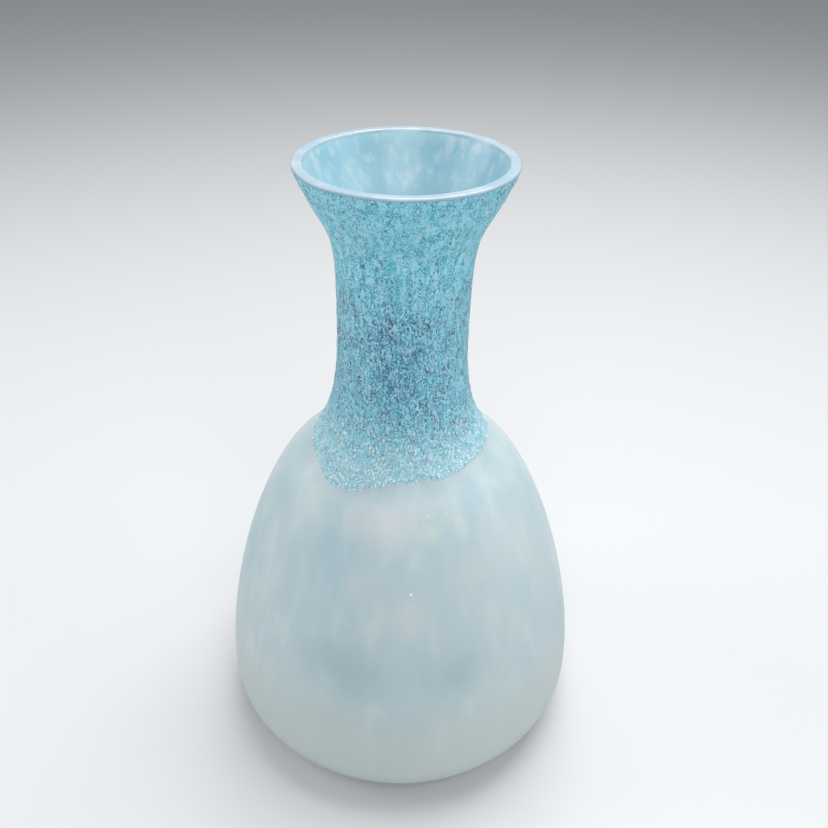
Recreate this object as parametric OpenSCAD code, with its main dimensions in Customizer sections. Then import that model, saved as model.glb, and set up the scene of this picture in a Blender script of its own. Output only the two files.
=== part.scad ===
// Hand blown cased glass vase with a bottle belly, a slim neck and a flared mouth.
// The glass is built in fused layers, each gathered over the one before it.
// Units are millimetres. The origin is the centre of the foot, with +Z up.

/* [Heights] */
// Height of the widest belly above the foot
belly_z = 20.5; // [16:0.5:28]
// Height of the steepest shoulder above the foot
shoulder_z = 114.3; // [90:0.1:140]
// Height from the steepest shoulder up to the straight neck
cove_h = 45.7; // [38:0.1:55]
// Length of the straight neck
neck_h = 8.3; // [5:0.1:40]
// Height of the flare, from the straight neck up to the top of the lip
flare_h = 46.9; // [38:0.1:58]

/* [Diameters] */
// Outside diameter of the mouth, over the lip
mouth_d = 67; // [56:0.5:82]
// Outside diameter of the straight neck
neck_d = 42.3; // [35:0.1:51]
// Diameter of the shoulder where it is steepest
shoulder_d = 72.2; // [60:0.1:87]
// Outside diameter of the belly at its widest
belly_d = 132; // [109:0.1:159]
// Diameter of the flat foot
foot_d = 84; // [68:0.1:102]

/* [Slopes] */
// Lean of the steepest shoulder from the vertical, in degrees
shoulder_lean = 50.5; // [42:0.5:56]
// Lean of the flare under the lip from the vertical, in degrees
flare_lean = 22.2; // [15:0.1:30]

/* [Glass layers] */
// Thickness of the crushed glass jacket on the neck
jacket_t = 0.7; // [0.5:0.05:1.2]
// Rise of the jacket's lower edge above the steepest shoulder
jacket_rise = 6.1; // [2:0.1:12]
// Height that the jacket's lower edge stands proud of the shoulder
jacket_step = 0.35; // [0.2:0.05:0.6]
// Thickness of the outer casing on the wall
outer_t = 1.1; // [0.9:0.05:2]
// Thickness of the colour layer
colour_t = 0.5; // [0.3:0.05:0.8]
// Thickness of the inner casing on the wall
inner_t = 1.1; // [0.9:0.05:2]

/* [Lip and base] */
// Rounding of the lip's two edges, either side of its polished flat top
lip_round = 0.6; // [0.4:0.05:1.1]
// Length of the lip along the flare, below its rounded outer edge
lip_h = 0.2; // [0.1:0.1:3]
// Thickness of the outer casing at the base
base_outer_t = 5; // [3.5:0.1:8]
// Thickness of the inner casing at the base
base_inner_t = 3.2; // [2:0.1:6]
// Diameter of the ground and polished pontil mark
pontil_d = 27; // [18:0.5:36]
// Depth of the pontil mark at its centre
pontil_depth = 1.8; // [0.8:0.1:2.6]

/* [Hidden] */
$fn = 128;

// Steps along each curve of the outline
heel_steps = 12;
belly_steps = 16;
cove_steps = 18;
flare_steps = 14;
round_steps = 10;
pontil_steps = 6;

// Reach of each curve's handles, as shares of the width, height or chord that the curve crosses
heel_foot_reach = 0.6;
heel_belly_reach = 0.55;
belly_low_reach = 0.37;
belly_high_reach = 0.185;
cove_low_reach = 0.32;
cove_neck_reach = 0.43;
flare_neck_reach = 0.68;
flare_lip_reach = 0.54;

// Height over which the thick base thins out to the wall
heel_blend = 45;
// Height over which the jacket reaches its full thickness
jacket_blend = 7;

wall_t = jacket_t + outer_t + colour_t + inner_t;
jacket_z = shoulder_z + jacket_rise;
neck_low_z = shoulder_z + cove_h;
neck_high_z = neck_low_z + neck_h;
height = neck_high_z + flare_h;
quarter_turn = 90;
half_turn = 180;

// Directions on the outline, as [radius, height]
up = [0, 1];
outward = [1, 0];
function lean_in(a) = [-sin(a), cos(a)];
function lean_out(a) = [sin(a), cos(a)];
function outer_normal(t) = [t[1], -t[0]];

// The centre of the lip's outer rounding, and the level seat where the lip meets the wall
flare_dir = lean_out(flare_lean);
flare_normal = outer_normal(flare_dir);
lip_outer_c = [mouth_d / 2 - lip_round, height - lip_round];
seat_out = lip_outer_c + lip_round * flare_normal - lip_h * flare_dir;
seat_in = seat_out - wall_t * outward;

// The outline's main points, from the foot to the lip
foot_p = [foot_d / 2, 0];
belly_p = [belly_d / 2, belly_z];
shoulder_p = [shoulder_d / 2, shoulder_z];
neck_low_p = [neck_d / 2, neck_low_z];
neck_high_p = [neck_d / 2, neck_high_z];

function mix(a, b, s) = a + (b - a) * s;
function clamp01(x) = min(1, max(0, x));
function ease(x) = let (s = clamp01(x)) s * s * (3 - 2 * s);

// Point and unit tangent on a cubic curve through p and q with handles a and b
function cubic(p, a, b, q, s) =
    pow(1 - s, 3) * p + 3 * s * pow(1 - s, 2) * a + 3 * s * s * (1 - s) * b + pow(s, 3) * q;
function cubic_slope(p, a, b, q, s) =
    pow(1 - s, 2) * (a - p) + 2 * s * (1 - s) * (b - a) + s * s * (q - b);
function unit(v) = v / norm(v);

// Samples [point, tangent] along the curve that leaves p along u and reaches q along v;
// short is how many of the last samples are left out
function flow(p, u, reach_p, q, v, reach_q, steps, first = 1, short = 0) = [
    for (i = [first:steps - short])
        let (
            a = p + u * reach_p,
            b = q - v * reach_q,
            s = i / steps
        )
        [cubic(p, a, b, q, s), unit(cubic_slope(p, a, b, q, s))]
];

heel_w = belly_p[0] - foot_p[0];
belly_h = shoulder_p[1] - belly_p[1];
cove_chord = norm(neck_low_p - shoulder_p);
seat_h = seat_out[1] - neck_high_p[1];

heel = flow(
    foot_p, outward, heel_foot_reach * heel_w,
    belly_p, up, heel_belly_reach * belly_p[1],
    heel_steps, first = 0
);
belly = flow(
    belly_p, up, belly_low_reach * belly_h,
    shoulder_p, lean_in(shoulder_lean), belly_high_reach * belly_h,
    belly_steps
);
cove = flow(
    shoulder_p, lean_in(shoulder_lean), cove_low_reach * cove_chord,
    neck_low_p, up, cove_neck_reach * cove_chord,
    cove_steps
);
flare = flow(
    neck_high_p, up, flare_neck_reach * seat_h,
    seat_out, flare_dir, flare_lip_reach * seat_h,
    flare_steps, first = 0, short = 1
);
// The wall is cut level at the seat, so its last sample faces straight out
seat = [[seat_out, up]];
outline = concat(heel, belly, cove, flare, seat);

// How much of the base's extra thickness, and of the jacket, each height carries
function base_share(z) = 1 - ease(z / heel_blend);
function jacket_share(z) = ease((z - jacket_z) / jacket_blend);

// Depth of each fused surface below the outline
function casing_top(z) = jacket_t * jacket_share(z);
function colour_top(z) = casing_top(z) + mix(outer_t, base_outer_t, base_share(z));
function inner_top(z) = colour_top(z) + colour_t;
function cavity_top(z) = inner_top(z) + mix(inner_t, base_inner_t, base_share(z));

// The same samples, moved into the glass along the outline's normal
function sunk(sample, depth) = sample[0] - depth * outer_normal(sample[1]);
function rest(sample) = sample[0][1];
casing_line = [for (s = outline) sunk(s, casing_top(rest(s)))];
colour_line = [for (s = outline) sunk(s, colour_top(rest(s)))];
inner_line = [for (s = outline) sunk(s, inner_top(rest(s)))];
cavity_line = [for (s = outline) sunk(s, cavity_top(rest(s)))];

function on_axis(p) = [0, p[1]];
function reversed(line) = [for (i = [len(line) - 1:-1:0]) line[i]];

// Ring of glass between an outer line and an inner line
module layer(outer, inner) {
    rotate_extrude()
        polygon(concat([on_axis(outer[0])], outer, reversed(inner), [on_axis(inner[0])]));
}

// Shallow arc of the pontil mark, from the axis to its edge on the foot
pontil_arc_r = (pow(pontil_d / 2, 2) + pow(pontil_depth, 2)) / (2 * pontil_depth);
pontil_half_angle = asin(pontil_d / 2 / pontil_arc_r);
pontil_line = [
    for (i = [0:pontil_steps])
        let (a = pontil_half_angle * i / pontil_steps)
        [pontil_arc_r * sin(a), pontil_depth - pontil_arc_r * (1 - cos(a))]
];

// First gather: the lining that carries the inside of the mouth, neck and belly
module inner_casing() {
    color("lightblue")
        layer(inner_line, cavity_line);
}

// Thin layer of blue and opal glass between the two clear gathers
module colour_layer() {
    color("steelblue")
        layer(colour_line, inner_line);
}

// Second gather, with a satin skin, the thick base and the polished pontil mark
module outer_casing() {
    color("powderblue")
        rotate_extrude()
            polygon(concat(pontil_line, casing_line, reversed(colour_line), [on_axis(colour_line[0])]));
}

// Crushed glass fused on the neck, with a lower edge that stands a little proud
module neck_frit_jacket() {
    cover = [for (s = outline) if (rest(s) > jacket_z) s];
    skin = [for (s = cover) sunk(s, -jacket_step * (1 - jacket_share(rest(s))))];
    back = [for (s = cover) sunk(s, casing_top(rest(s)))];
    color("cadetblue")
        rotate_extrude()
            polygon(concat(skin, reversed(back)));
}

// Quarter of a rounding about a centre, between two angles
function rounding(centre, from, to) = [
    for (i = [0:round_steps])
        let (a = mix(from, to, i / round_steps))
        centre + lip_round * [cos(a), sin(a)]
];

// Fire-polished ring that closes all the layers at the mouth, flat on top with rounded edges
module lip_wrap() {
    to_inner_c = lip_round - flare_normal[1] * (height - lip_round - seat_in[1]);
    lip_inner_c = [seat_in[0] + to_inner_c / flare_normal[0], height - lip_round];
    last = len(outline) - 1;
    fused = [cavity_line[last], inner_line[last], colour_line[last], casing_line[last]];
    color("aliceblue")
        rotate_extrude()
            polygon(concat(
                [seat_out],
                rounding(lip_outer_c, -flare_lean, quarter_turn),
                rounding(lip_inner_c, quarter_turn, half_turn - flare_lean),
                fused
            ));
}

inner_casing();
colour_layer();
outer_casing();
neck_frit_jacket();
lip_wrap();
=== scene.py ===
"""Hand blown cased glass vase: satin belly, crushed-glass neck, glossy inside and fire-polished lip."""

import math

import bmesh
import bpy
import numpy as np
from bpy.props import FloatProperty, FloatVectorProperty, IntProperty, PointerProperty
from mathutils import Matrix, Vector, noise


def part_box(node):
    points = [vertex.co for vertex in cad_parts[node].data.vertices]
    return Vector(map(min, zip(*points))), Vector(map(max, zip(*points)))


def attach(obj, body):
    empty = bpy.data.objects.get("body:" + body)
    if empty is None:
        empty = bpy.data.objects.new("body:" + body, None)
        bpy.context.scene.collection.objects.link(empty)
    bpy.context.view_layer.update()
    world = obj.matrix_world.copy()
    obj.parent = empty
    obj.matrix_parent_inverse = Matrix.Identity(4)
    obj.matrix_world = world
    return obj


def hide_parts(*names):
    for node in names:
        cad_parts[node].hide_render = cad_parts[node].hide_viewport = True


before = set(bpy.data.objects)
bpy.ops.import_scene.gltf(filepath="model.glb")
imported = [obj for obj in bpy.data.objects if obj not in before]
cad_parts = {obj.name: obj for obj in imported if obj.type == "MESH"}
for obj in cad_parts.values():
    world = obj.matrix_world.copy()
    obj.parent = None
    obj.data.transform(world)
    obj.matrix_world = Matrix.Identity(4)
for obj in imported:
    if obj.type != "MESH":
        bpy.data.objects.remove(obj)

bl_info = {
    "name": "Hand Blown Glass Vase",
    "version": (1, 0, 0),
    "blender": (4, 5, 0),
    "location": "View3D > Sidebar > Vase",
    "description": "Builds a cased glass vase with a satin belly and a crushed-glass neck",
    "category": "Add Mesh",
}

MM = 0.001
BODY = "root"
GLASS_IOR = 1.5
UP = np.array([0.0, 1.0])
OUTWARD = np.array([1.0, 0.0])

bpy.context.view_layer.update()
LIP_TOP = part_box("lip_wrap")[1].z
MOUTH_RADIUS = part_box("lip_wrap")[1].x
BELLY_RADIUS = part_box("outer_casing")[1].x


def shade(red, green, blue):
    """Linear colour of a tint given in display values from 0 to 255."""
    def linear(value):
        share = value / 255
        return share / 12.92 if share <= 0.04045 else ((share + 0.055) / 1.055) ** 2.4
    return (linear(red), linear(green), linear(blue))


def length(name, description, default):
    """A length property in metres."""
    return FloatProperty(name=name, description=description, default=default, unit="LENGTH", precision=5)


def angle(name, description, degrees):
    """An angle property, stated in degrees and kept in radians."""
    return FloatProperty(name=name, description=description, default=math.radians(degrees), subtype="ANGLE")


def power(name, description, watts):
    """A light's power in watts."""
    return FloatProperty(name=name, description=description, default=watts, unit="POWER")


def colour(name, description, default):
    """A colour property with a linear default."""
    return FloatVectorProperty(
        name=name, description=description, default=default, subtype="COLOR", min=0, max=1
    )


# ---------------------------------------------------------------- sizes and colours


class VaseShape(bpy.types.PropertyGroup):
    """Outline and wall of the vase."""

    height: length("Height", "Foot to the top of the lip", LIP_TOP)
    mouth_radius: length("Mouth radius", "Outside radius over the lip", MOUTH_RADIUS)
    belly_radius: length("Belly radius", "Outside radius at the widest", BELLY_RADIUS)
    foot_radius: length("Foot radius", "Radius of the flat foot", 42 * MM)
    shoulder_radius: length("Shoulder radius", "Radius where the shoulder is steepest", 36.1 * MM)
    neck_radius: length("Neck radius", "Outside radius of the straight neck", 21.15 * MM)
    belly_z: length("Belly height", "Height of the widest belly", 20.5 * MM)
    shoulder_z: length("Shoulder height", "Height of the steepest shoulder", 114.3 * MM)
    neck_low_z: length("Neck start", "Height where the straight neck starts", 160 * MM)
    neck_high_z: length("Neck end", "Height where the straight neck ends", 168.3 * MM)
    shoulder_lean: angle("Shoulder lean", "Lean of the steepest shoulder from the vertical", 50.5)
    flare_lean: angle("Flare lean", "Lean of the flare from the vertical", 22.2)
    jacket_t: length("Jacket", "Thickness of the crushed glass jacket", 0.7 * MM)
    outer_t: length("Outer casing", "Thickness of the outer casing on the wall", 1.1 * MM)
    colour_t: length("Colour layer", "Thickness of the colour layer", 0.5 * MM)
    inner_t: length("Inner casing", "Thickness of the inner casing on the wall", 1.1 * MM)
    base_outer_t: length("Outer base", "Thickness of the outer casing at the base", 5 * MM)
    base_inner_t: length("Inner base", "Thickness of the inner casing at the base", 3.2 * MM)
    base_blend: length("Base blend", "Height over which the thick base thins out", 45 * MM)
    lip_round: length("Lip rounding", "Rounding of the lip's two edges", 0.6 * MM)
    lip_h: length("Lip height", "Length of the lip along the flare, below its rounded edge", 0.2 * MM)
    seat_blend: length("Seat blend", "Height under the lip where the wall turns to a level cut", 3.2 * MM)
    pontil_radius: length("Pontil radius", "Radius of the ground pontil mark", 13.5 * MM)
    pontil_depth: length("Pontil depth", "Depth of the pontil mark", 1.8 * MM)
    neck_lean: length("Neck lean", "How far the mouth sits to one side of the belly", 1.2 * MM)
    lean_from: length("Lean start", "Height where the neck starts to lean", 125 * MM)
    wobble: FloatProperty(
        name="Wobble", description="Hand blown unevenness of the wall, as a share of the radius",
        default=0.004, subtype="FACTOR",
    )


class VaseJacket(bpy.types.PropertyGroup):
    """Crushed glass on the neck."""

    rise: length("Edge height", "Mean height of the jacket's lower edge", 120.6 * MM)
    sag: length("Sag", "How far the lower edge hangs down on one side", 5 * MM)
    sag_azimuth: angle("Sag direction", "Side on which the lower edge hangs down", -35)
    sag_width: angle("Sag width", "Half width of the part that hangs down", 24)
    roll: length("Roll", "How far the lower edge rolls up and down round the neck", 0.5 * MM)
    roll_azimuth: angle("Roll direction", "Side on which the rolling edge is at its highest", 68)
    ragged: length("Ragged edge", "How far the lower edge wanders", 0.9 * MM)
    step: length("Step", "How far the lower edge stands proud", 0.35 * MM)
    blend: length("Blend", "Height over which the jacket sinks into the wall", 7 * MM)
    relief: length("Relief", "Depth of the crushed grains", 0.28 * MM)
    grain_w: length("Grain width", "Width of a crushed grain", 0.42 * MM)
    grain_h: length("Grain height", "Height of a drawn-out grain", 1.05 * MM)
    chip: length("Chip size", "Size of the loose chips along the edge", 0.34 * MM)
    chip_density: FloatProperty(
        name="Chip density", description="Loose chips per square metre of the edge band", default=900000
    )


class VaseColours(bpy.types.PropertyGroup):
    """Tints of the glass, and the painted glints, painted shade and painted sheen of the crushed neck."""

    satin: colour("Satin", "Pale blue of the satin belly", shade(182, 200, 204))
    satin_blue: colour("Satin blue", "Bluer clouds in the belly", shade(156, 188, 200))
    satin_teal: colour("Satin teal", "Greyer teal clouds low on the belly", shade(148, 176, 181))
    satin_white: colour("Satin white", "White clouds in the belly", shade(204, 213, 215))
    satin_pink: colour("Satin pink", "Warm white clouds in the belly", shade(205, 206, 208))
    satin_foot: colour("Satin foot", "Warm pale grey near the foot", shade(186, 196, 193))
    neck_teal: colour("Neck teal", "Main blue of the crushed glass", shade(76, 168, 198))
    neck_light: colour("Neck light", "Pale grains", shade(126, 214, 238))
    # Painted glint on bright grains and flecks, lit as if catching the light; also the tint of pale streaks
    # near the lip
    neck_glint: colour("Neck glint", "Bright grains", shade(174, 234, 250))
    neck_green: colour("Neck green", "Green streaks", shade(64, 184, 198))
    # Deep blue of real patches and dark streaks, also painted shade on the side of the neck that faces the
    # camera
    neck_deep_and_shade: colour("Neck deep", "Deep blue patches", shade(62, 130, 166))
    neck_plum: colour("Neck plum", "Purple grey patches", shade(100, 102, 140))
    # Pale blue of the thin lower edge, also a painted sheen down the sides of the neck
    neck_pale_and_sheen: colour("Neck pale", "Pale blue of the thin lower edge", shade(172, 200, 209))
    # Painted shade in the pits between the crushed grains
    pit_shade: colour("Pit", "Dark specks in the crushed glass", shade(34, 70, 92))
    # Painted glints in the crushed glass and a painted highlight dot on the belly; also the tint of the clear
    # chips
    glint_and_chip_white: colour("Spark", "Bright specks in the crushed glass", shade(232, 246, 250))
    lining: colour("Lining", "Blue of the glossy inside", shade(148, 188, 200))
    lining_white: colour("Lining white", "White spots of the inside", shade(186, 203, 208))
    lining_low: colour("Lining low", "Paler blue deeper in the mouth", shade(170, 196, 203))
    lining_deep: colour("Lining deep", "Deeper blue of the inside", shade(138, 184, 200))
    lip: colour("Lip", "Pale lavender white of the lip", shade(160, 182, 197))
    core: colour("Core", "Blue of the sealed colour layer", shade(104, 158, 184))
    crumb: colour("Crumb", "Faint yellow green round the fused crumbs", shade(206, 222, 204))
    crumb_chip: colour("Crumb chip", "Bright yellow white of the fused crumbs", shade(250, 252, 226))


class VaseStage(bpy.types.PropertyGroup):
    """Camera, floor and lights."""

    camera_place: FloatVectorProperty(
        name="Camera", description="Camera position", default=(0.0, -0.2582, 0.2971),
        subtype="TRANSLATION", unit="LENGTH",
    )
    pitch: angle("Pitch", "How far the camera looks down", 33.44)
    yaw: angle("Yaw", "How far the camera looks to the right", 0.97)
    roll: angle("Roll", "How far the camera is turned about its view", 0.753)
    lens: FloatProperty(name="Lens", description="Focal length in millimetres", default=39.13)
    floor: colour("Floor", "Plain pale floor", shade(206, 207, 208))
    surround: colour("Surround", "Plain soft surround", shade(222, 226, 230))
    surround_strength: FloatProperty(name="Surround strength", description="Surround light", default=0.42)
    key_power: power("Key", "Power of the overhead softbox", 9.0)
    side_power: power("Left", "Power of the left softbox", 2.2)
    fill_power: power("Right", "Power of the right softbox", 1.2)
    front_power: power("Front", "Power of the softbox above the camera", 7.0)
    columns: IntProperty(name="Columns", description="Columns round the glass", default=256, min=48)
    jacket_columns: IntProperty(name="Jacket columns", description="Columns round the jacket", default=560)


def settings():
    """The scene's own sizes and colours."""
    return bpy.context.scene.vase


class VaseSettings(bpy.types.PropertyGroup):
    """All sizes and colours of the vase."""

    shape: PointerProperty(type=VaseShape)
    jacket: PointerProperty(type=VaseJacket)
    colours: PointerProperty(type=VaseColours)
    stage: PointerProperty(type=VaseStage)


# ---------------------------------------------------------------- outline


def ease(x):
    """Smooth step from 0 to 1."""
    s = np.clip(x, 0.0, 1.0)
    return s * s * (3 - 2 * s)


def mix(a, b, share):
    """Value a share of the way from a to b."""
    return a + (b - a) * share


def curve(p, a, b, q, steps=240):
    """Points on a cubic curve from p to q with handles a and b."""
    s = np.linspace(0.0, 1.0, steps)[:, None]
    return (1 - s) ** 3 * p + 3 * s * (1 - s) ** 2 * a + 3 * s * s * (1 - s) * b + s**3 * q


def lean_out(lean):
    """Direction that leans outwards from the vertical."""
    return np.array([math.sin(lean), math.cos(lean)])


def across(direction):
    """Outward normal of a direction on the outline."""
    return np.array([direction[1], -direction[0]])


class Outline:
    """The outside of the vase as [radius, height], measured by length from the foot."""

    # Reach of each curve's handles, as shares of the width, height or chord that the curve crosses
    HEEL = (0.6, 0.55)
    SIDE = (0.37, 0.185)
    COVE = (0.32, 0.43)
    FLARE = (0.68, 0.54)

    def __init__(self, shape):
        self.shape = shape
        self.wall = shape.jacket_t + shape.outer_t + shape.colour_t + shape.inner_t
        self.flare = lean_out(shape.flare_lean)
        self.lip_outer = np.array([shape.mouth_radius, shape.height]) - shape.lip_round
        self.seat = self.lip_outer + shape.lip_round * across(self.flare) - shape.lip_h * self.flare
        self.points = self.trace()
        steps = np.diff(self.points, axis=0)
        self.lengths = np.concatenate([[0.0], np.cumsum(np.hypot(steps[:, 0], steps[:, 1]))])
        slope = np.gradient(self.points, self.lengths, axis=0)
        slope /= np.hypot(slope[:, 0], slope[:, 1])[:, None]
        self.top = self.lengths[-1]
        level = np.clip((self.lengths - self.top) / shape.seat_blend + 1, 0.0, 1.0)[:, None]
        self.normals = mix(np.stack([slope[:, 1], -slope[:, 0]], axis=1), OUTWARD, level)

    def trace(self):
        """Heel, belly, cove and flare joined into one line."""
        s = self.shape
        foot = np.array([s.foot_radius, 0.0])
        belly = np.array([s.belly_radius, s.belly_z])
        shoulder = np.array([s.shoulder_radius, s.shoulder_z])
        neck_low = np.array([s.neck_radius, s.neck_low_z])
        neck_high = np.array([s.neck_radius, s.neck_high_z])
        inward = lean_out(-s.shoulder_lean)
        heel_w = s.belly_radius - s.foot_radius
        rise = s.shoulder_z - s.belly_z
        chord = np.hypot(*(neck_low - shoulder))
        seat_h = self.seat[1] - s.neck_high_z

        def flow(start, leave, end, arrive, shares, first_span, last_span):
            first = start + shares[0] * first_span * leave
            last = end - shares[1] * last_span * arrive
            return curve(start, first, last, end)

        heel = flow(foot, OUTWARD, belly, UP, self.HEEL, heel_w, s.belly_z)
        side = flow(belly, UP, shoulder, inward, self.SIDE, rise, rise)
        cove = flow(shoulder, inward, neck_low, UP, self.COVE, chord, chord)
        flare = flow(neck_high, UP, self.seat, self.flare, self.FLARE, seat_h, seat_h)
        return np.concatenate([heel, side[1:], cove[1:], flare])

    def length_at(self, height):
        """Length along the outline at a height."""
        return np.interp(height, self.points[:, 1], self.lengths)

    def at(self, lengths, depth):
        """Points at the given lengths, sunk into the glass by depth."""
        point = np.stack([np.interp(lengths, self.lengths, self.points[:, i]) for i in (0, 1)], axis=1)
        normal = np.stack([np.interp(lengths, self.lengths, self.normals[:, i]) for i in (0, 1)], axis=1)
        normal /= np.hypot(normal[:, 0], normal[:, 1])[:, None]
        return point - np.asarray(depth)[..., None] * normal

    def height_of(self, lengths):
        """Heights at the given lengths."""
        return np.interp(lengths, self.lengths, self.points[:, 1])


# How many times the jacket's lower edge rolls up and down in one turn
ROLLS = 4


def jacket_edge(theta):
    """Height of the jacket's lower edge at an azimuth, without its fine raggedness."""
    jacket = settings().jacket
    turn = (theta - jacket.sag_azimuth + math.pi) % (2 * math.pi) - math.pi
    sag = jacket.sag * math.exp(-((turn / jacket.sag_width) ** 2))
    roll = jacket.roll * math.cos(ROLLS * (theta - jacket.roll_azimuth))
    return jacket.rise - sag + roll


class Layers:
    """Depths of the fused surfaces below the outline."""

    def __init__(self):
        self.shape = settings().shape
        self.jacket = settings().jacket
        self.outline = Outline(self.shape)

    def cover(self, edge, lengths):
        """Share of the jacket's thickness at each length, over an edge at a height."""
        return ease((lengths - self.outline.length_at(edge)) / self.jacket.blend)

    def base(self, lengths):
        """Share of the base's extra thickness at each length."""
        return 1 - ease(self.outline.height_of(lengths) / self.shape.base_blend)

    def casing(self, theta, lengths):
        """Top of the outer casing."""
        return self.shape.jacket_t * self.cover(jacket_edge(theta), lengths)

    def colour(self, lengths):
        """Top of the colour layer, which follows the mean height of the jacket's edge."""
        wall = mix(self.shape.outer_t, self.shape.base_outer_t, self.base(lengths))
        return self.shape.jacket_t * self.cover(self.jacket.rise, lengths) + wall

    def inner(self, lengths):
        """Top of the inner casing."""
        return self.colour(lengths) + self.shape.colour_t

    def cavity(self, lengths):
        """Surface of the hollow."""
        wall = mix(self.shape.inner_t, self.shape.base_inner_t, self.base(lengths))
        return self.inner(lengths) + wall


# ---------------------------------------------------------------- meshes


# Wobble: cells across the glass, cells in a metre of height, and the height over which it sets in
WOBBLE_CELLS = 1.3
WOBBLE_PER_METRE = 22
WOBBLE_FROM = 12 * MM
SHARP_EDGE = math.radians(50)
ON_AXIS = 1e-7


def placed(theta, radius, height):
    """Point of the leaning, slightly uneven glass at an azimuth, radius and height."""
    shape = settings().shape
    lean = shape.neck_lean * float(ease((height - shape.lean_from) / (shape.height - shape.lean_from)))
    turn = (math.sin(theta) * WOBBLE_CELLS, -math.cos(theta) * WOBBLE_CELLS)
    cell = Vector((*turn, height * WOBBLE_PER_METRE))
    fade = float(ease(height / WOBBLE_FROM))
    swell = 1 - shape.wobble * fade * (0.5 + 0.5 * noise.noise(cell))
    return (lean + radius * swell * math.sin(theta), -radius * swell * math.cos(theta), height)


def cast(name, section, columns):
    """Turn a section round the axis. Its ends are on the axis, or it is a loop that closes on itself."""
    thetas = [2 * math.pi * i / columns for i in range(columns)]
    rings = [section(theta) for theta in thetas]
    rows = len(rings[0])
    on_axis = rings[0][0][0] < ON_AXIS
    inner = range(1, rows - 1) if on_axis else range(rows)
    verts = [placed(t, r, z) for t, ring in zip(thetas, rings) for r, z in (ring[j] for j in inner)]
    count = len(inner)
    spans = count - 1 if on_axis else count
    faces = []
    for i in range(columns):
        a = i * count
        b = (i + 1) % columns * count
        for j in range(spans):
            k = (j + 1) % count
            faces.append((a + j, b + j, b + k, a + k))
    if on_axis:
        verts.append(placed(0.0, 0.0, float(rings[0][0][1])))
        verts.append(placed(0.0, 0.0, float(rings[0][-1][1])))
        low = len(verts) - 2
        high = len(verts) - 1
        for i in range(columns):
            a = i * count
            b = (i + 1) % columns * count
            faces.append((low, b, a))
            faces.append((high, a + count - 1, b + count - 1))
    mesh = bpy.data.meshes.new(name)
    mesh.from_pydata(verts, [], faces)
    return finished(name, mesh)


def linked(name, data):
    """New object in the scene, at the origin."""
    thing = bpy.data.objects.new(name, data)
    bpy.context.scene.collection.objects.link(thing)
    return thing


def finished(name, mesh):
    """Object at the origin with outward faces and smooth shading that breaks at sharp edges."""
    work = bmesh.new()
    work.from_mesh(mesh)
    bmesh.ops.recalc_face_normals(work, faces=work.faces)
    if work.calc_volume(signed=True) < 0:
        bmesh.ops.reverse_faces(work, faces=work.faces)
    work.to_mesh(mesh)
    work.free()
    mesh.polygons.foreach_set("use_smooth", [True] * len(mesh.polygons))
    mesh.set_sharp_from_angle(angle=SHARP_EDGE)
    return linked(name, mesh)


def lengths_for(outline, stretches):
    """Lengths along the outline, from the foot to the seat, for stretches that each have their own rows."""
    starts = [0.0] + [outline.length_at(height) for height, rows in stretches[1:]]
    ends = starts[1:] + [outline.top]
    parts = [
        np.linspace(start, end, rows, endpoint=False)
        for start, end, (height, rows) in zip(starts, ends, stretches)
    ]
    return np.concatenate(parts + [[outline.top]])


def shell_section(outline, outer, inner, lengths):
    """Section of a closed shell, the same all round, whose two surfaces meet the axis at the base."""
    skin = outline.at(lengths, outer(lengths))
    back = outline.at(lengths, inner(lengths))[::-1]
    first = [[0.0, skin[0][1]]]
    last = [[0.0, back[-1][1]]]
    ring = np.concatenate([first, skin, back, last])
    return lambda theta: ring


def join_frame(piece, node, material):
    """Give a piece its material and its body, and hide the CAD node that it stands for."""
    piece.data.materials.clear()
    piece.data.materials.append(material)
    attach(piece, BODY)
    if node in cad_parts:
        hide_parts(node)
    return piece


# ---------------------------------------------------------------- shader maths


class Wire:
    """A shader socket that adds Math nodes when it meets numbers or other wires."""

    def __init__(self, finish, socket):
        self.finish = finish
        self.socket = socket

    def maths(self, operation, first, second):
        """Result of one Math node."""
        return self.finish.add("ShaderNodeMath", {"operation": operation}, {0: first, 1: second})

    def __add__(self, other):
        return self.maths("ADD", self, other)

    def __radd__(self, other):
        return self.maths("ADD", other, self)

    def __sub__(self, other):
        return self.maths("SUBTRACT", self, other)

    def __rsub__(self, other):
        return self.maths("SUBTRACT", other, self)

    def __mul__(self, other):
        return self.maths("MULTIPLY", self, other)

    def __rmul__(self, other):
        return self.maths("MULTIPLY", other, self)


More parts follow.
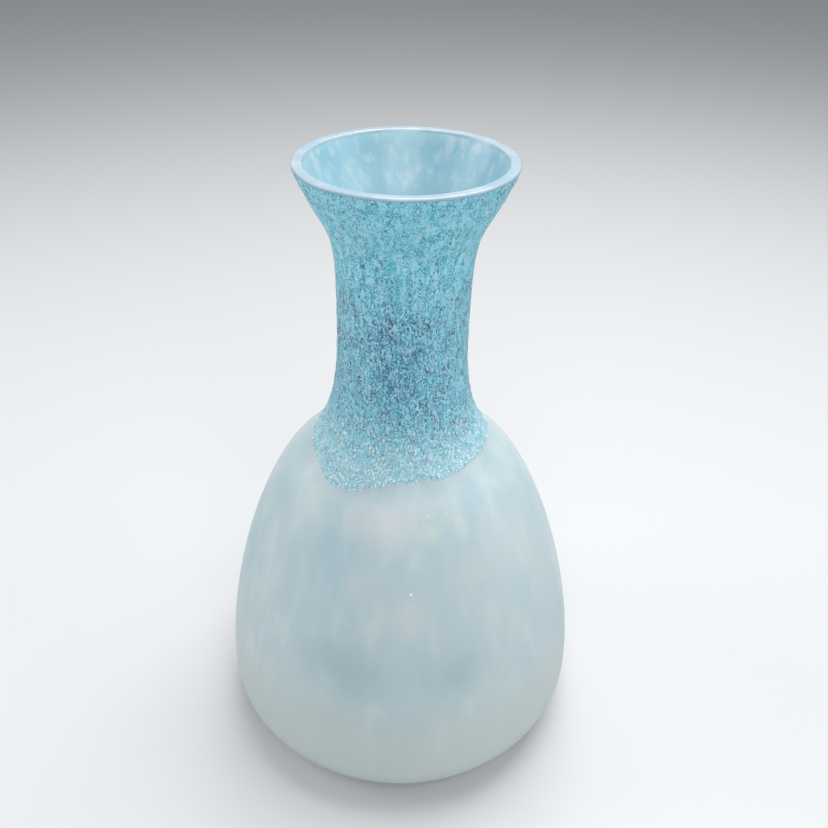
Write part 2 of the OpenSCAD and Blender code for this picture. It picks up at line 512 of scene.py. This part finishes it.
class Finish:
    """Node tree of one glass finish."""

    def __init__(self, name):
        self.material = bpy.data.materials.new(name)
        self.material.use_nodes = True
        self.nodes = self.material.node_tree.nodes
        self.links = self.material.node_tree.links
        self.nodes.clear()
        self.place = self.add("ShaderNodeTexCoord", output="Object")

    def add(self, kind, options=None, inputs=None, output=0):
        """Add a node: its options are set first, then the values or links of its sockets."""
        node = self.nodes.new(kind)
        for key, value in (options or {}).items():
            setattr(node, key, value)
        for key, value in (inputs or {}).items():
            if isinstance(value, Wire):
                self.links.new(value.socket, node.inputs[key])
            else:
                node.inputs[key].default_value = value
        return None if output is None else Wire(self, node.outputs[output])

    def stretched(self, width, height, twist=0.0):
        """Object coordinates scaled so that one unit is one cell wide and one cell tall."""
        return self.add(
            "ShaderNodeMapping",
            {"vector_type": "POINT"},
            {"Vector": self.place, "Scale": (1 / width, 1 / width, 1 / height), "Rotation": (0, twist, 0)},
        )

    def clouds(self, width, height, detail=2.0, shift=0.0, twist=0.0):
        """Soft noise from about 0.3 to 0.7 with cells of the given width and height."""
        return self.add(
            "ShaderNodeTexNoise",
            {"noise_dimensions": "4D"},
            {"Vector": self.stretched(width, height, twist), "W": shift, "Scale": 1.0, "Detail": detail},
        )

    def grains(self, width, height, twist=0.0):
        """Angular grains: how far each point is from its grain's middle, and two random shares per grain."""
        cells = self.stretched(width, height, twist)
        reach = self.add("ShaderNodeTexVoronoi", None, {"Vector": cells, "Scale": 1.0}, output="Distance")
        chance = Wire(self, reach.socket.node.outputs["Color"])
        first = self.add("ShaderNodeSeparateColor", None, {0: chance}, output=0)
        second = self.add("ShaderNodeSeparateColor", None, {0: chance}, output=1)
        return 1.0 - reach, first, second

    def window(self, value, low, high):
        """0 below low, 1 above high and smooth between; low may be above high."""
        return self.add(
            "ShaderNodeMapRange",
            {"interpolation_type": "SMOOTHSTEP"},
            {"Value": value, "From Min": low, "From Max": high, "To Min": 0.0, "To Max": 1.0},
        )

    def blend(self, share, first, second):
        """Colour a share of the way from first to second."""
        pair = {
            6: first if isinstance(first, Wire) else (*first, 1.0),
            7: second if isinstance(second, Wire) else (*second, 1.0),
        }
        return self.add("ShaderNodeMix", {"data_type": "RGBA"}, {0: share, **pair}, output=2)

    def paint(self, ground, coats):
        """Ground colour under coats in order, each with its share and its tint."""
        for share, tint in coats:
            ground = self.blend(share, ground, tint)
        return ground

    def height(self):
        """Height above the foot."""
        return self.add("ShaderNodeSeparateXYZ", None, {0: self.place}, output=2)

    def cloud_at(self, spot, width, tall, soft=0.95):
        """Soft round cloud about a spot on the surface."""
        offset = self.add("ShaderNodeVectorMath", {"operation": "SUBTRACT"}, {0: self.place, 1: spot})
        scaled = self.add(
            "ShaderNodeVectorMath",
            {"operation": "MULTIPLY"},
            {0: offset, 1: (1 / width, 1 / width, 1 / tall)},
        )
        reach = self.add("ShaderNodeVectorMath", {"operation": "LENGTH"}, {0: scaled}, output=1)
        uneven = self.clouds(0.5 * width, 0.7 * tall, detail=3.0, shift=spot[2] * 90)
        return self.window(reach + (uneven - 0.5) * 0.9, 1.0, 1.0 - soft)

    def bump(self, height, strength, distance, normal=None):
        """Normal bent by a height."""
        inputs = {"Height": height, "Strength": strength, "Distance": distance}
        if normal:
            inputs["Normal"] = normal
        return self.add("ShaderNodeBump", None, inputs)

    def glass(self, inputs, soft=None):
        """Finish as glass; soft is the weight, the colour and the reach of the light under the surface."""
        shared = {"IOR": GLASS_IOR}
        if soft:
            weight, tint, reach = soft
            shared |= {"Subsurface Weight": weight, "Subsurface Radius": tint, "Subsurface Scale": reach}
        return self.close(inputs | shared)

    def close(self, inputs):
        """Finish with one principled shader on the surface."""
        shader = self.add("ShaderNodeBsdfPrincipled", None, inputs)
        self.add("ShaderNodeOutputMaterial", None, {"Surface": shader}, output=None)
        return self.material


# ---------------------------------------------------------------- finishes


def on_wall(azimuth, height):
    """Spot on the outside of the vase at an azimuth in degrees and a height in millimetres."""
    outline = Outline(settings().shape)
    radius, level = outline.at(np.array([outline.length_at(height * MM)]), np.zeros(1))[0]
    return placed(math.radians(azimuth), float(radius), float(level))


# Soft clouds in the satin skin and one painted highlight dot: azimuth in degrees, height, half width
# and half height in millimetres, tint and share
SATIN_CLOUDS = (
    (-74, 82, 18, 30, "satin_blue", 0.5),
    (-66, 106, 14, 12, "satin_blue", 0.5),
    (71, 54, 14, 22, "satin_blue", 0.6),
    (-30, 100, 10, 14, "satin_blue", 0.35),
    (50, 96, 17, 32, "satin_white", 0.5),
    (34, 80, 8, 22, "satin_white", 0.35),
    (53, 88, 4, 26, "satin_white", 0.35),
    (-10, 110, 19, 9, "satin_pink", 0.55),
    (4, 83, 9, 11, "satin_pink", 0.45),
    (-17, 92, 8, 10, "satin_pink", 0.35),
    (30, 95, 9, 9, "satin_pink", 0.35),
    (-18, 63, 26, 18, "satin_teal", 0.6),
    (18, 62, 21, 16, "satin_teal", 0.5),
    (14, 108, 6, 4, "crumb", 0.4),
    (27, 108, 4, 5, "crumb", 0.35),
    (170, 92, 24, 30, "satin_blue", 0.45),
    (125, 70, 16, 22, "satin_teal", 0.4),
    (-140, 104, 14, 12, "satin_pink", 0.4),
    # Painted highlight: a small bright dot on the belly
    (3.8, 90.8, 0.9, 0.7, "glint_and_chip_white", 1.0),
)


def satin_finish():
    """Satin skin of the belly: soft clouds of blue, white and warm white over a pale foot, and a painted
    highlight dot.
    """
    tints = settings().colours
    finish = Finish("satin_belly_glass")
    wide = finish.clouds(30 * MM, 52 * MM, detail=2.0, shift=2.3)
    drawn = finish.clouds(8 * MM, 34 * MM, detail=2.0, shift=5.1)
    fine = finish.clouds(2.4 * MM, 9 * MM, detail=4.0, shift=7.7)
    ragged = finish.height() + (finish.clouds(22 * MM, 22 * MM, detail=2.0, shift=4.0) - 0.5) * (36 * MM)
    clouds = [
        (finish.cloud_at(on_wall(azimuth, height), width * MM, tall * MM) * share, getattr(tints, tint))
        for azimuth, height, width, tall, tint, share in SATIN_CLOUDS
    ]
    tone = finish.paint(tints.satin, (
        (finish.window(wide, 0.36, 0.7) * 0.45, tints.satin_blue),
        (finish.window(drawn, 0.42, 0.74) * 0.5, tints.satin_white),
        *clouds,
        (finish.window(ragged, 58 * MM, 28 * MM) * 0.85, tints.satin_foot),
        ((fine - 0.35) * 0.25, tints.satin_white),
    ))
    grain = finish.clouds(0.5 * MM, 0.5 * MM, detail=2.0)
    ripple = finish.clouds(9 * MM, 16 * MM, detail=1.0, shift=1.0)
    normal = finish.bump(ripple, 0.2, 1.0 * MM)
    normal = finish.bump(grain, 0.12, 0.05 * MM, normal)
    surface = {"Base Color": tone, "Roughness": 0.4 + fine * 0.14, "Normal": normal}
    return finish.glass(surface, soft=(0.25, (0.7, 0.95, 1.0), 1.2 * MM))


def frit_finish():
    """Crushed glass of the neck: drawn-out blue grains and green streaks, with painted shade in the pits,
    painted glints on bright grains and specks, painted shade on the side that faces the camera and painted
    sheen on the sides.
    """
    tints = settings().colours
    jacket = settings().jacket
    finish = Finish("crushed_neck_glass")
    up = finish.height()
    broad = finish.clouds(13 * MM, 26 * MM, detail=3.0, shift=3.1)
    streak = finish.clouds(0.9 * MM, 7 * MM, detail=3.0, shift=9.2, twist=0.12)
    green = finish.clouds(1.8 * MM, 10 * MM, detail=2.0, shift=14.8, twist=0.3)
    stroke = finish.clouds(1.5 * MM, 7 * MM, detail=1.5, shift=21.3, twist=0.35)
    plum = finish.clouds(3.2 * MM, 4.5 * MM, detail=3.0, shift=12.4)
    ridge, shade_of, glint_of = finish.grains(jacket.grain_w, jacket.grain_h, twist=0.12)
    patch = finish.clouds(2.5 * MM, 4 * MM, detail=2.0, shift=5.5)
    fleck_of = finish.grains(0.8 * jacket.grain_w, 0.5 * jacket.grain_h, twist=0.3)[1]

    high = finish.window(up, 168 * MM, 194 * MM)
    low = finish.window(up + (broad - 0.5) * (16 * MM), 144 * MM, 121 * MM)
    middle = finish.window(up, 190 * MM, 168 * MM) * finish.window(up, 122 * MM, 136 * MM)
    # A darker patch on the side that faces the camera: partly the glass's own deeper blue, partly painted
    # shade; it also holds back the pale sheen and light grains there
    front = finish.cloud_at(on_wall(0, 161), 17 * MM, 38 * MM)
    # Painted shade in the pits between grains, in patches
    shaded_pits = finish.window(fleck_of, 0.22, 0.14) * finish.window(patch, 0.36, 0.54)
    rare = 0.985 - 0.09 * low
    tone = finish.paint(tints.neck_teal, (
        (finish.window(broad, 0.5, 0.72) * middle * 0.6, tints.neck_deep_and_shade),
        (front, tints.neck_deep_and_shade),
        # Painted sheen: paler towards the sides of the neck, away from the camera
        ((1.0 - front) * (1.0 - high) * 0.28, tints.neck_pale_and_sheen),
        (high * (0.85 - 0.45 * front), tints.neck_light),
        (finish.window(plum, 0.5, 0.62) * middle * 0.85, tints.neck_plum),
        (low * 0.9, tints.neck_pale_and_sheen),
        (finish.window(green, 0.52, 0.66) * (0.35 + 0.45 * high), tints.neck_green),
        (finish.window(stroke, 0.46, 0.4) * (0.3 + 0.55 * high), tints.neck_green),
        (finish.window(stroke, 0.54, 0.6) * (0.25 + 0.55 * high - 0.15 * front), tints.neck_glint),
        (finish.window(streak, 0.48, 0.62) * (0.7 - 0.25 * front), tints.neck_light),
        (finish.window(streak, 0.44, 0.32) * (0.6 - 0.3 * low - 0.25 * high), tints.neck_deep_and_shade),
        # Painted light from here on: glints on bright grains and flecks, shade in the pits, and rare sparks
        (finish.window(shade_of, 0.56, 0.8) * 0.6, tints.neck_glint),
        (finish.window(shade_of, 0.7, 1.0) * low * 0.6, tints.glint_and_chip_white),
        (finish.window(fleck_of, 0.8, 0.88) * 0.7, tints.neck_glint),
        (shaded_pits * (0.85 - 0.55 * low - 0.15 * high), tints.pit_shade),
        (finish.window(glint_of - rare, 0.0, 0.03), tints.glint_and_chip_white),
    ))
    normal = finish.bump(ridge + shade_of * 0.8, 1.0, 0.22 * MM)
    gloss = 0.12 + 0.3 * finish.window(glint_of, 0.9, 0.5)
    surface = {"Base Color": tone, "Roughness": gloss, "Normal": normal}
    return finish.glass(surface, soft=(0.1, (0.6, 0.9, 1.0), 0.5 * MM))


def lining_finish():
    """Glossy inside: blue glass with slanting drawn-out white spots."""
    tints = settings().colours
    finish = Finish("glossy_lining_glass")
    broad = finish.clouds(13 * MM, 20 * MM, detail=2.0, shift=8.8, twist=0.3)
    spot = finish.clouds(3.2 * MM, 9 * MM, detail=3.0, shift=2.9, twist=0.5)
    fleck = finish.clouds(1.3 * MM, 3.6 * MM, detail=2.0, shift=6.2, twist=0.5)
    tone = finish.paint(tints.lining, (
        (finish.window(broad, 0.36, 0.66), tints.lining_deep),
        (finish.window(finish.height(), 208 * MM, 188 * MM) * 0.7, tints.lining_low),
        (finish.window(spot, 0.46, 0.7) * 0.7, tints.lining_white),
        (finish.window(fleck, 0.6, 0.72) * 0.5, tints.lining_white),
    ))
    ripple = finish.clouds(8 * MM, 20 * MM, detail=1.0)
    normal = finish.bump(ripple, 0.25, 1.0 * MM)
    surface = {"Base Color": tone, "Roughness": 0.26 + 0.1 * spot, "Normal": normal}
    return finish.glass(surface, soft=(0.2, (0.7, 0.95, 1.0), 1.0 * MM))


def lip_finish():
    """Fire-polished lip: pale and glossy, a little cloudy."""
    tints = settings().colours
    finish = Finish("fire_polished_lip_glass")
    cloud = finish.clouds(9 * MM, 9 * MM, detail=2.0, shift=3.3)
    tone = finish.blend(finish.window(cloud, 0.4, 0.66) * 0.3, tints.lip, tints.satin_white)
    gloss = {"Roughness": 0.2 + 0.12 * cloud, "Coat Weight": 0.25, "Coat Roughness": 0.12}
    return finish.glass({"Base Color": tone} | gloss, soft=(0.3, (0.8, 0.95, 1.0), 1.5 * MM))


def core_finish():
    """Sealed colour layer: blue and opal clouds."""
    tints = settings().colours
    finish = Finish("sealed_colour_glass")
    cloud = finish.clouds(12 * MM, 26 * MM, detail=3.0, shift=3.9)
    tone = finish.blend(finish.window(cloud, 0.4, 0.62), tints.core, tints.satin_white)
    return finish.glass({"Base Color": tone, "Roughness": 0.3 + 0.1 * cloud})


def chip_finish(name, tint):
    """Glossy chips of crushed glass of one tint, a little cloudy."""
    finish = Finish(name)
    cloud = finish.clouds(1.5 * MM, 1.5 * MM, detail=1.0, shift=6.1)
    tone = finish.blend(finish.window(cloud, 0.4, 0.65) * 0.5, tint, settings().colours.neck_light)
    gloss = {"Roughness": 0.06 + 0.2 * cloud, "Coat Weight": 0.6, "Coat Roughness": 0.03}
    return finish.glass({"Base Color": tone} | gloss)


# ---------------------------------------------------------------- chips by Geometry Nodes


def chip_tree():
    """Tree that scatters angular chips over a patch of surface."""
    tree = bpy.data.node_groups.new("scattered_chips", "GeometryNodeTree")
    face = tree.interface
    face.new_socket("Geometry", in_out="INPUT", socket_type="NodeSocketGeometry")
    for title, kind, default in (
        ("Chip Size", "NodeSocketFloat", 0.3 * MM),
        ("Density", "NodeSocketFloat", 1000.0),
        ("Seed", "NodeSocketInt", 1),
    ):
        face.new_socket(title, in_out="INPUT", socket_type=kind).default_value = default
    face.new_socket("Material", in_out="INPUT", socket_type="NodeSocketMaterial")
    face.new_socket("Geometry", in_out="OUTPUT", socket_type="NodeSocketGeometry")

    def node(kind, options=None, values=None):
        made = tree.nodes.new(kind)
        for key, value in (options or {}).items():
            setattr(made, key, value)
        for key, value in (values or {}).items():
            if isinstance(value, bpy.types.NodeSocket):
                tree.links.new(value, made.inputs[key])
            else:
                made.inputs[key].default_value = value
        return made

    given = node("NodeGroupInput").outputs
    spread = node(
        "GeometryNodeDistributePointsOnFaces",
        {"distribute_method": "RANDOM"},
        {"Mesh": given["Geometry"], "Density": given["Density"], "Seed": given["Seed"]},
    )
    grain = node("GeometryNodeMeshIcoSphere", None, {"Radius": 0.5, "Subdivisions": 1})
    size = node(
        "FunctionNodeRandomValue",
        {"data_type": "FLOAT_VECTOR"},
        {0: (0.45, 0.45, 0.5), 1: (1.1, 1.0, 1.5), "Seed": given["Seed"]},
    )
    scaled = node(
        "ShaderNodeVectorMath",
        {"operation": "SCALE"},
        {0: size.outputs[0], "Scale": given["Chip Size"]},
    )
    turn = node(
        "FunctionNodeRandomValue",
        {"data_type": "FLOAT_VECTOR"},
        {0: (-0.7, -0.7, -math.pi), 1: (0.7, 0.7, math.pi), "Seed": given["Seed"]},
    )
    placed_chips = node(
        "GeometryNodeInstanceOnPoints",
        None,
        {
            "Points": spread.outputs["Points"],
            "Instance": grain.outputs["Mesh"],
            "Rotation": turn.outputs[0],
            "Scale": scaled.outputs[0],
        },
    )
    real = node("GeometryNodeRealizeInstances", None, {"Geometry": placed_chips.outputs["Instances"]})
    tinted = node(
        "GeometryNodeSetMaterial",
        None,
        {"Geometry": real.outputs["Geometry"], "Material": given["Material"]},
    )
    node("NodeGroupOutput", None, {"Geometry": tinted.outputs["Geometry"]})
    return tree


def scatter(name, patch, size, density, seed, material):
    """Chips scattered over a patch object, as one plain mesh; the patch is removed."""
    tree = bpy.data.node_groups.get("scattered_chips") or chip_tree()
    modifier = patch.modifiers.new("chips", "NODES")
    modifier.node_group = tree
    ids = {item.name: item.identifier for item in tree.interface.items_tree if item.in_out == "INPUT"}
    modifier[ids["Chip Size"]] = size
    modifier[ids["Density"]] = density
    modifier[ids["Seed"]] = seed
    modifier[ids["Material"]] = material
    graph = bpy.context.evaluated_depsgraph_get()
    mesh = bpy.data.meshes.new_from_object(patch.evaluated_get(graph))
    patch.modifiers.remove(modifier)
    bpy.data.objects.remove(patch)
    mesh.name = name
    piece = linked(name, mesh)
    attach(piece, BODY)
    return piece


def band(name, low, high, azimuths, rows, proud):
    """Open patch of the wall between two heights that follow the azimuth."""
    outline = Outline(settings().shape)
    verts = []
    for theta in azimuths:
        lengths = np.linspace(outline.length_at(low(theta)), outline.length_at(high(theta)), rows)
        verts += [placed(theta, r, z) for r, z in outline.at(lengths, np.full(rows, -proud))]
    faces = []
    for i in range(len(azimuths) - 1):
        for j in range(rows - 1):
            a = i * rows + j
            faces.append((a, a + rows, a + rows + 1, a + 1))
    mesh = bpy.data.meshes.new(name)
    mesh.from_pydata(verts, [], faces)
    return linked(name, mesh)


# ---------------------------------------------------------------- pieces


class VASE_OT_outer_casing(bpy.types.Operator):
    """Build the satin outer casing with its thick base and pontil mark"""

    bl_idname = "vase.outer_casing"
    bl_label = "Outer casing"

    # Height where each stretch starts, and how many rows it has
    STRETCHES = ((0, 40), (45 * MM, 34), (106 * MM, 50), (136 * MM, 24))
    PONTIL_ROWS = 12
    FOOT_ROWS = 8

    def execute(self, context):
        shape = settings().shape
        layers = Layers()
        lengths = lengths_for(layers.outline, self.STRETCHES)
        arc_radius = (shape.pontil_radius**2 + shape.pontil_depth**2) / (2 * shape.pontil_depth)
        spread = math.asin(shape.pontil_radius / arc_radius)
        pontil = [
            [arc_radius * math.sin(a), shape.pontil_depth - arc_radius * (1 - math.cos(a))]
            for a in np.linspace(0, spread, self.PONTIL_ROWS)
        ]
        radii = np.linspace(shape.pontil_radius, shape.foot_radius, self.FOOT_ROWS)
        foot = [[radius, 0.0] for radius in radii[1:-1]]

        def section(theta):
            skin = layers.outline.at(lengths, layers.casing(theta, lengths))
            back = layers.outline.at(lengths, layers.colour(lengths))[::-1]
            return np.concatenate([pontil, foot, skin, back, [[0.0, back[-1][1]]]])

        piece = cast("outer_casing_glass", section, settings().stage.columns)
        join_frame(piece, "outer_casing", satin_finish())
        return {"FINISHED"}


class VASE_OT_inner_layers(bpy.types.Operator):
    """Build the sealed colour layer and the glossy inner casing"""

    bl_idname = "vase.inner_layers"
    bl_label = "Inner layers"

    # Height where each stretch starts, and how many rows it has
    STRETCHES = ((0, 30), (60 * MM, 26), (106 * MM, 26), (140 * MM, 40))

    def execute(self, context):
        layers = Layers()
        lengths = lengths_for(layers.outline, self.STRETCHES)
        core = shell_section(layers.outline, layers.colour, layers.inner, lengths)
        lining = shell_section(layers.outline, layers.inner, layers.cavity, lengths)
        columns = settings().stage.columns
        join_frame(cast("colour_layer_glass", core, columns // 2), "colour_layer", core_finish())
        join_frame(cast("inner_casing_glass", lining, columns), "inner_casing", lining_finish())
        return {"FINISHED"}


class VASE_OT_lip_wrap(bpy.types.Operator):
    """Build the fire-polished lip, flat on top with rounded edges"""

    bl_idname = "vase.lip_wrap"
    bl_label = "Lip wrap"

    ROUND_ROWS = 14
    SIDE_ROWS = 6
    TOP_ROWS = 8
    SEAT_ROWS = 5

    def execute(self, context):
        shape = settings().shape
        outline = Outline(shape)
        out = across(outline.flare)
        seat_in = outline.seat - outline.wall * OUTWARD
        level = shape.height - shape.lip_round
        lip_inner = np.array([seat_in[0] + (shape.lip_round - out[1] * (level - seat_in[1])) / out[0], level])

        def rounding(centre, start, end):
            turns = np.linspace(start, end, self.ROUND_ROWS)
            return centre + shape.lip_round * np.stack([np.cos(turns), np.sin(turns)], axis=1)

        outer = rounding(outline.lip_outer, -shape.flare_lean, math.pi / 2)
        inner = rounding(lip_inner, math.pi / 2, math.pi - shape.flare_lean)
        side = np.linspace(outline.seat, outer[0], self.SIDE_ROWS)[:-1]
        top = np.linspace(outer[-1], inner[0], self.TOP_ROWS)[1:-1]
        inside = np.linspace(inner[-1], seat_in, self.SIDE_ROWS)[1:]
        seat = np.linspace(seat_in, outline.seat, self.SEAT_ROWS)[1:-1]
        ring = np.concatenate([side, outer, top, inner, inside, seat])
        piece = cast("lip_wrap_glass", lambda theta: ring, settings().stage.columns)
        join_frame(piece, "lip_wrap", lip_finish())
        return {"FINISHED"}


class VASE_OT_neck_frit_jacket(bpy.types.Operator):
    """Build the crushed-glass jacket with its raised grains and ragged lower edge"""

    bl_idname = "vase.neck_frit_jacket"
    bl_label = "Neck frit jacket"

    ROWS = 148
    BACK_ROWS = 10
    # Width and height of the clumps that grains gather in, in grains
    CLUMP_W = 3
    CLUMP_H = 5
    # Scales of the ragged lower edge: how fine each one is, and its share
    RAGGED = ((7, 0.9), (26, 0.7), (61, 0.5))
    # Length over which the lower edge reaches its step, and over which grains fade at the edge and the lip
    STEP_LENGTH = 0.35 * MM
    EDGE_FADE = 0.8 * MM
    LIP_FADE = 1.5 * MM
    # How deep the jacket's back sits in the outer casing
    BITE = 0.02 * MM

    def relief(self, theta, point):
        """Height of the crushed grains at a point of the jacket."""
        jacket = settings().jacket
        x = point[0] * math.sin(theta)
        y = -point[0] * math.cos(theta)
        z = point[1]
        grain = noise.noise(Vector((x / jacket.grain_w, y / jacket.grain_w, z / jacket.grain_h)))
        wide = self.CLUMP_W * jacket.grain_w
        tall = self.CLUMP_H * jacket.grain_h
        clump = noise.noise(Vector((x / wide, y / wide, z / tall)))
        return jacket.relief * (0.75 * grain + 0.45 * clump)

    def execute(self, context):
        layers = Layers()
        jacket = settings().jacket
        outline = layers.outline

        def section(theta):
            ragged = jacket.ragged * sum(
                share * noise.noise(Vector((math.sin(theta) * turns, math.cos(theta) * turns, turns)))
                for turns, share in self.RAGGED
            )
            start = outline.length_at(jacket_edge(theta) + ragged)
            lengths = np.linspace(start, outline.top, self.ROWS)
            above = lengths - start
            cover = layers.cover(jacket_edge(theta), lengths)
            lift = jacket.step * (1 - np.exp(-above / self.STEP_LENGTH)) * (1 - 0.7 * cover)
            flat = outline.at(lengths, -lift)
            fade = ease(above / self.EDGE_FADE) * ease((outline.top - lengths) / self.LIP_FADE)
            grains = np.array([self.relief(theta, point) for point in flat])
            skin = outline.at(lengths, -(lift + grains * fade))
            back_lengths = np.linspace(start, outline.top, self.BACK_ROWS)
            back = outline.at(back_lengths, layers.casing(theta, back_lengths) + self.BITE)
            return np.concatenate([skin, back[::-1]])

        piece = cast("neck_frit_jacket_glass", section, settings().stage.jacket_columns)
        join_frame(piece, "neck_frit_jacket", frit_finish())
        return {"FINISHED"}


class VASE_OT_loose_chips(bpy.types.Operator):
    """Scatter loose chips along the jacket's lower edge, over the neck and in a small fused patch"""

    bl_idname = "vase.loose_chips"
    bl_label = "Loose chips"

    COLUMNS = 241

    def execute(self, context):
        jacket = settings().jacket
        tints = settings().colours
        clear = chip_finish("clear_chip_glass", tints.glint_and_chip_white)
        blue = chip_finish("blue_chip_glass", tints.neck_teal)
        crumb = chip_finish("pale_crumb_glass", tints.crumb_chip)
        whole_turn = np.linspace(0, 2 * math.pi, self.COLUMNS)
        arm = np.radians(np.linspace(9, 24, 12))
        leg = np.radians(np.linspace(24, 29, 6))

        def above_edge(rise):
            return lambda theta: jacket_edge(theta) + rise

        def level(height):
            return lambda theta: height * MM

        def chips(name, low, high, azimuths, rows, proud, size, density, seed, finish):
            patch = band(name + "_band", low, high, azimuths, rows, proud)
            scatter(name, patch, jacket.chip * size, jacket.chip_density * density, seed, finish)

        chips(
            "jacket_edge_chips", above_edge(-0.4 * MM), above_edge(2.6 * MM), whole_turn,
            rows=4, proud=jacket.step, size=1, density=1, seed=11, finish=clear,
        )
        chips(
            "jacket_edge_clumps", above_edge(-0.5 * MM), above_edge(1.1 * MM), whole_turn,
            rows=4, proud=jacket.step * 0.8, size=1.7, density=0.5, seed=17, finish=clear,
        )
        chips(
            "lower_neck_chips", above_edge(2 * MM), above_edge(14 * MM), whole_turn,
            rows=8, proud=0.2 * MM, size=0.9, density=0.3, seed=23, finish=clear,
        )
        chips(
            "upper_neck_chips", above_edge(14 * MM), level(205), whole_turn,
            rows=24, proud=0.05 * MM, size=0.8, density=0.12, seed=37, finish=blue,
        )
        chips(
            "fused_crumbs_low", level(109.5), level(112.5), arm,
            rows=4, proud=0.02 * MM, size=1.3, density=0.6, seed=5, finish=crumb,
        )
        chips(
            "fused_crumbs_side", level(105.8), level(111.5), leg,
            rows=4, proud=0.02 * MM, size=1.3, density=0.6, seed=8, finish=crumb,
        )
        return {"FINISHED"}


class VASE_OT_stage(bpy.types.Operator):
    """Set the camera, the plain pale floor and the soft studio light"""

    bl_idname = "vase.stage"
    bl_label = "Stage"

    FLOOR_REACH = 6.0
    # The point that every softbox is aimed at
    AIM = (0.0, 0.0, 0.12)
    # Name, place and size of each softbox in metres, and the setting that holds its power
    SOFTBOXES = (
        ("overhead_softbox", (0.15, 0.25, 0.95), 0.7, "key_power"),
        ("left_softbox", (-0.8, 0.1, 0.45), 0.5, "side_power"),
        ("right_softbox", (0.8, -0.1, 0.55), 0.5, "fill_power"),
        ("front_softbox", (0.1, -0.95, 0.95), 0.9, "front_power"),
    )

    def softbox(self, name, place, size, power):
        """One square area light aimed at the vase."""
        data = bpy.data.lights.new(name, "AREA")
        data.shape = "SQUARE"
        data.size = size
        data.energy = power
        light = linked(name, data)
        light.location = place
        light.rotation_mode = "QUATERNION"
        light.rotation_quaternion = (Vector(self.AIM) - Vector(place)).to_track_quat("-Z", "Y")

    def camera(self, stage):
        """Camera that looks down on the vase."""
        data = bpy.data.cameras.new("studio_camera")
        data.lens = stage.lens
        data.clip_start = 0.01
        data.clip_end = 50
        seer = linked("studio_camera", data)
        look = Vector((
            math.sin(stage.yaw) * math.cos(stage.pitch),
            math.cos(stage.yaw) * math.cos(stage.pitch),
            -math.sin(stage.pitch),
        ))
        level = Vector((math.cos(stage.yaw), -math.sin(stage.yaw), 0.0))
        above = level.cross(look)
        right = math.cos(stage.roll) * level + math.sin(stage.roll) * above
        top = math.cos(stage.roll) * above - math.sin(stage.roll) * level
        turn = Matrix((right, top, -look)).transposed().to_4x4()
        seer.matrix_world = Matrix.Translation(Vector(stage.camera_place)) @ turn
        bpy.context.scene.camera = seer

    def floor(self, stage):
        """Plain pale floor."""
        reach = self.FLOOR_REACH
        mesh = bpy.data.meshes.new("floor")
        corners = [(-reach, -reach, 0), (reach, -reach, 0), (reach, reach, 0), (-reach, reach, 0)]
        mesh.from_pydata(corners, [], [(0, 1, 2, 3)])
        slab = linked("floor", mesh)
        finish = Finish("plain_floor")
        slab.data.materials.append(finish.close({"Base Color": (*stage.floor, 1.0), "Roughness": 0.55}))

    def surround(self, stage):
        """Plain soft surround."""
        world = bpy.data.worlds.new("studio_surround")
        world.use_nodes = True
        background = world.node_tree.nodes["Background"]
        background.inputs["Color"].default_value = (*stage.surround, 1.0)
        background.inputs["Strength"].default_value = stage.surround_strength
        bpy.context.scene.world = world

    def execute(self, context):
        stage = settings().stage
        self.camera(stage)
        self.floor(stage)
        self.surround(stage)
        for name, place, size, power in self.SOFTBOXES:
            self.softbox(name, place, size, getattr(stage, power))
        bpy.context.scene.view_settings.view_transform = "Standard"
        return {"FINISHED"}


class VASE_PT_panel(bpy.types.Panel):
    """Sizes, tints and pieces of the vase"""

    bl_idname = "VASE_PT_panel"
    bl_label = "Blown glass vase"
    bl_space_type = "VIEW_3D"
    bl_region_type = "UI"
    bl_category = "Vase"

    def draw(self, context):
        for operator in PIECES:
            self.layout.operator(operator.bl_idname)
        for group in (settings().shape, settings().jacket, settings().colours, settings().stage):
            box = self.layout.box()
            for name in group.__annotations__:
                box.prop(group, name)


PIECES = (
    VASE_OT_stage,
    VASE_OT_outer_casing,
    VASE_OT_inner_layers,
    VASE_OT_lip_wrap,
    VASE_OT_neck_frit_jacket,
    VASE_OT_loose_chips,
)
CLASSES = (VaseShape, VaseJacket, VaseColours, VaseStage, VaseSettings, *PIECES, VASE_PT_panel)


def register():
    """Register every class and the scene's settings."""
    for cls in CLASSES:
        bpy.utils.register_class(cls)
    bpy.types.Scene.vase = PointerProperty(type=VaseSettings)


def unregister():
    """Remove the scene's settings and every class."""
    del bpy.types.Scene.vase
    for cls in reversed(CLASSES):
        bpy.utils.unregister_class(cls)


def main():
    """Build the stage and every piece."""
    register()
    for operator in PIECES:
        group, name = operator.bl_idname.split(".")
        getattr(getattr(bpy.ops, group), name)()


if __name__ == "__main__":
    main()
